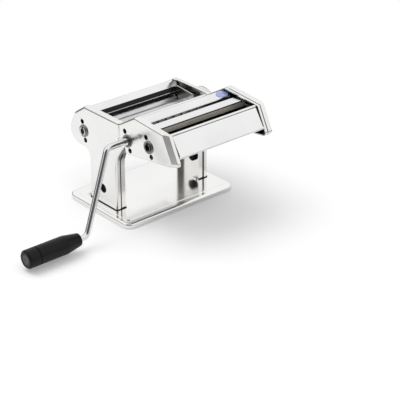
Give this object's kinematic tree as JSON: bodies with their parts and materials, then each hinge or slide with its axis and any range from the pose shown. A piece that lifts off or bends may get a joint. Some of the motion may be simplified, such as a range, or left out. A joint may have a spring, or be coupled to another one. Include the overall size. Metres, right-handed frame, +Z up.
{
  "type": "pasta machine",
  "caption": "Hand-cranked tabletop pasta machine with smooth dough rollers, a lift-off noodle cutter unit, a thickness knob and a removable crank.",
  "frame": {"origin": "middle of the base tray on the table, at the underside of the feet", "axes": "+X along the rollers from the crank side to the knob side, +Y from the cutter unit towards the rear cover, +Z up"},
  "size_m": [0.3624, 0.224, 0.1575],
  "materials": {
    "polished_steel": "polished sheet steel with a mirror-like face",
    "satin_plate": "fine satin nickel-plated sheet",
    "chromed_bar": "bright chrome plating",
    "hard_steel": "machined steel",
    "roller_alloy": "finely turned, satin",
    "zinc": "zinc-plated, dull",
    "bronze": "sintered bronze",
    "white_nylon": "moulded nylon",
    "black_plastic": "satin moulded plastic",
    "grey_plastic": "moulded plastic",
    "foot_rubber": "soft grey rubber"
  },
  "bodies": {
    "root": {"base_plate": "polished_steel", "base_feet": "foot_rubber", "foot_rivets": "chromed_bar", "crank_side_plate": "satin_plate", "knob_side_plate": "satin_plate", "rear_cover": "polished_steel", "rear_wiper": "black_plastic", "front_guide": "polished_steel", "dough_guard_crank": "hard_steel", "dough_guard_knob": "hard_steel", "rear_scraper": "hard_steel", "roller_tie_rods": "zinc", "cutter_rails": "hard_steel", "roller_bush": "hard_steel", "knob_bearing_plate": "zinc", "adjuster_rails": "zinc", "knob_post": "hard_steel", "detent_ring": "zinc"},
    "drive_roller": {"drive_roller": "roller_alloy", "drive_roller_gear": "hard_steel"},
    "adjuster": {"adjuster_slide_crank": "zinc", "adjuster_slide_knob": "zinc", "adjuster_bars": "zinc", "cam_follower_pin": "hard_steel", "front_scraper": "white_nylon"},
    "adjustable_roller": {"adjustable_roller": "roller_alloy", "adjustable_roller_gear": "hard_steel"},
    "knob_cam": {"adjuster_cam": "hard_steel"},
    "knob": {"thickness_knob": "satin_plate", "knob_cap": "grey_plastic", "knob_lock_pin": "hard_steel", "knob_spring": "hard_steel"},
    "cutter_unit": {"cutter_crank_plate": "satin_plate", "cutter_knob_plate": "satin_plate", "cutter_crank_bearing_plate": "zinc", "cutter_knob_bearing_plate": "zinc", "cutter_front_cover": "polished_steel", "cutter_front_guide": "polished_steel", "cutter_middle_guide": "polished_steel", "cutter_rear_cover": "polished_steel", "cutter_tie_rods": "zinc", "cutter_hooks": "hard_steel", "cutter_bushes": "hard_steel", "wide_combs": "hard_steel", "narrow_combs": "hard_steel"},
    "wide_drive": {"wide_drive_cutter": "hard_steel", "wide_drive_gear": "hard_steel"},
    "wide_idle": {"wide_idle_cutter": "hard_steel", "wide_idle_gear": "hard_steel"},
    "narrow_drive": {"narrow_drive_cutter": "hard_steel", "narrow_drive_gear": "hard_steel"},
    "narrow_idle": {"narrow_idle_cutter": "hard_steel", "narrow_idle_gear": "hard_steel"},
    "crank": {"crank_rod": "chromed_bar", "crank_drive_pin": "hard_steel", "crank_collar": "chromed_bar", "grip_rings": "chromed_bar"},
    "grip": {"grip_sleeve": "black_plastic", "grip_end_cap": "grey_plastic"}
  },
  "joints": [
    {"name": "drive_roller_spin", "type": "hinge", "parent": "root", "child": "drive_roller", "pos_m": [0, 0.0428, 0.1026], "axis": [1, 0, 0], "continuous": true},
    {"name": "knob_turn", "type": "hinge", "parent": "root", "child": "knob_cam", "pos_m": [0.082, 0.009, 0.1055], "axis": [1, 0, 0], "range_deg": [0, 270]},
    {"name": "gap_slide", "type": "slide", "parent": "root", "child": "adjuster", "axis": [0, -1, 0], "range_m": [0, 0.0024]},
    {"name": "adjustable_roller_spin", "type": "hinge", "parent": "adjuster", "child": "adjustable_roller", "pos_m": [0, 0.0098, 0.1026], "axis": [1, 0, 0], "continuous": true},
    {"name": "knob_pull", "type": "slide", "parent": "knob_cam", "child": "knob", "axis": [1, 0, 0], "range_m": [0, 0.003], "stiffness_N_per_m": 500, "springref_m": -0.004, "deforming": ["knob_spring"]},
    {"name": "cutter_lift", "type": "slide", "parent": "root", "child": "cutter_unit", "axis": [0, 0, 1], "range_m": [0, 0.06]},
    {"name": "wide_drive_spin", "type": "hinge", "parent": "cutter_unit", "child": "wide_drive", "pos_m": [0, -0.0516, 0.1202], "axis": [1, 0, 0], "continuous": true},
    {"name": "wide_idle_spin", "type": "hinge", "parent": "cutter_unit", "child": "wide_idle", "pos_m": [0, -0.0711, 0.1202], "axis": [1, 0, 0], "continuous": true},
    {"name": "narrow_drive_spin", "type": "hinge", "parent": "cutter_unit", "child": "narrow_drive", "pos_m": [0, -0.095, 0.1264], "axis": [1, 0, 0], "continuous": true},
    {"name": "narrow_idle_spin", "type": "hinge", "parent": "cutter_unit", "child": "narrow_idle", "pos_m": [0, -0.1145, 0.1264], "axis": [1, 0, 0], "continuous": true},
    {"name": "crank_pull", "type": "slide", "parent": "wide_drive", "child": "crank", "axis": [-1, 0, 0], "range_m": [0, 0.03]},
    {"name": "grip_spin", "type": "hinge", "parent": "crank", "child": "grip", "pos_m": [-0.215, -0.06851, 0.01748], "axis": [1, 0, 0], "continuous": true}
  ],
  "couplings": [
    {"joint": "adjustable_roller_spin", "follows": "drive_roller_spin", "ratio": -1},
    {"joint": "knob_turn", "follows": "gap_slide", "rad_per_m": 1963.5},
    {"joint": "wide_idle_spin", "follows": "wide_drive_spin", "ratio": -1},
    {"joint": "narrow_idle_spin", "follows": "narrow_drive_spin", "ratio": -1}
  ]
}
